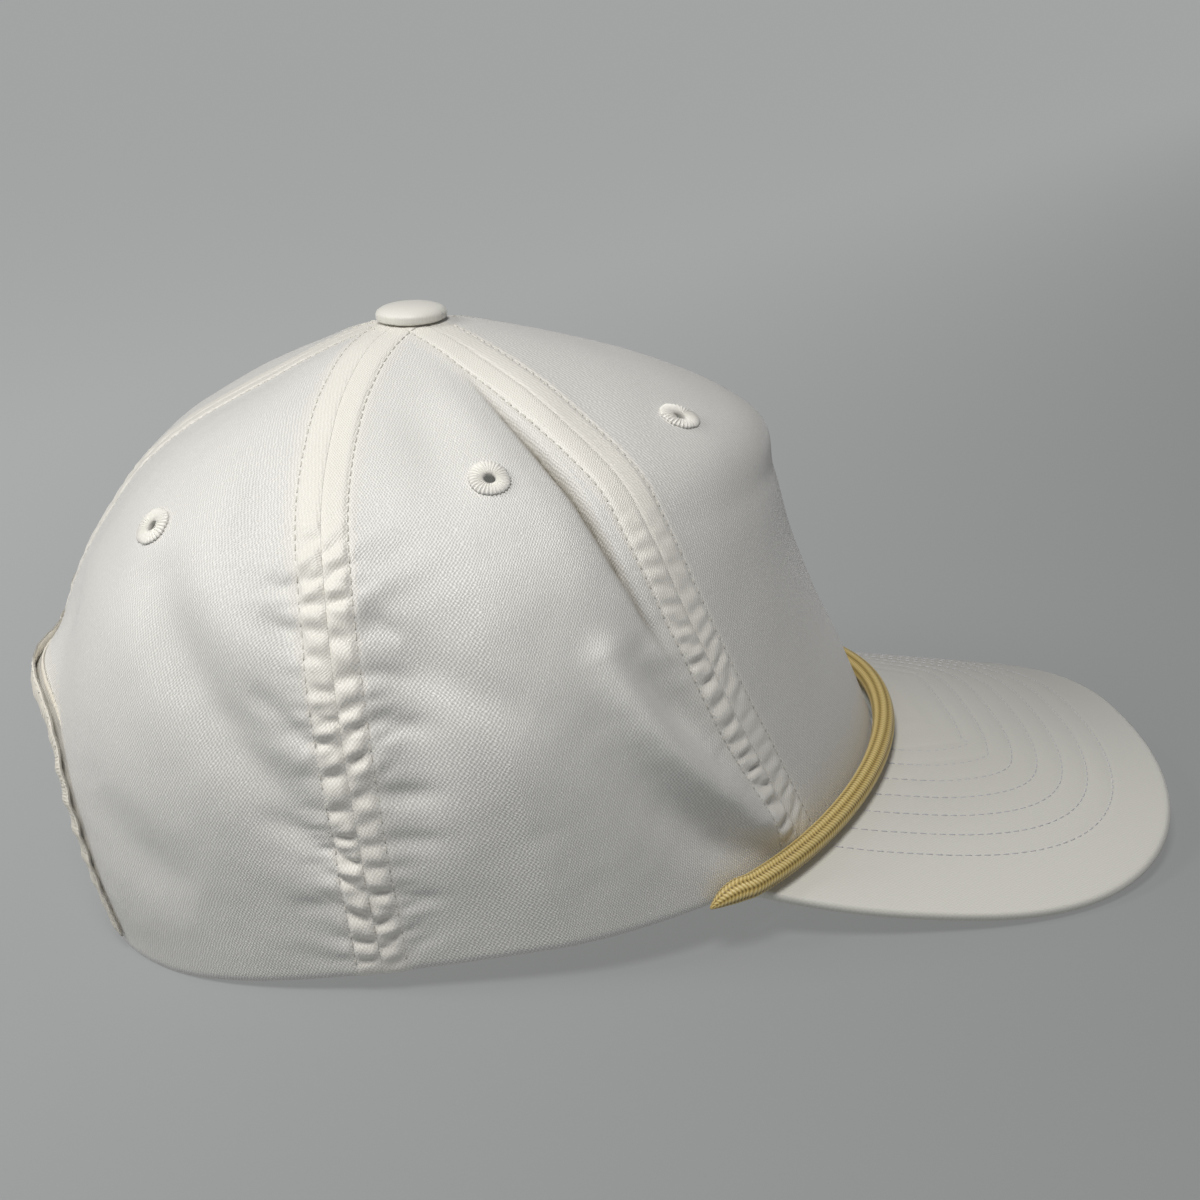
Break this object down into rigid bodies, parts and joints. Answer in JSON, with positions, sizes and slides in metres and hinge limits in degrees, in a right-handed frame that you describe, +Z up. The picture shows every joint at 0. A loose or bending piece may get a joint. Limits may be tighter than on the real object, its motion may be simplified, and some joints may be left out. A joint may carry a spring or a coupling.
{
  "type": "panelled cap",
  "caption": "Panelled cloth cap with a structured front, a braided rope along its stitched bill, a covered button, stitched eyelets and an adjustable snap strap at the back.",
  "frame": {"origin": "on the surface that the cap stands on, under the middle of its length and width", "axes": "+X forward over the bill, +Y towards the wearer's left, +Z up to the button"},
  "size_m": [0.278, 0.164, 0.1346],
  "materials": {
    "cloth": "satin",
    "tape": "satin",
    "thread": "satin",
    "rope_cord": "satin",
    "snap_plastic": "gloss"
  },
  "bodies": {
    "root": {"front_panel": "cloth", "side_panel_right": "cloth", "side_panel_left": "cloth", "back_panel_right": "cloth", "back_panel_left": "cloth", "bill": "cloth", "button": "cloth", "rope": "rope_cord", "sweatband": "tape", "arch_binding": "tape", "eyelet_front_right": "thread", "eyelet_side_right": "thread", "eyelet_back_right": "thread", "eyelet_front_left": "thread", "eyelet_side_left": "thread", "eyelet_back_left": "thread", "strap_right": "snap_plastic", "strap_left": "snap_plastic"}
  },
  "joints": []
}
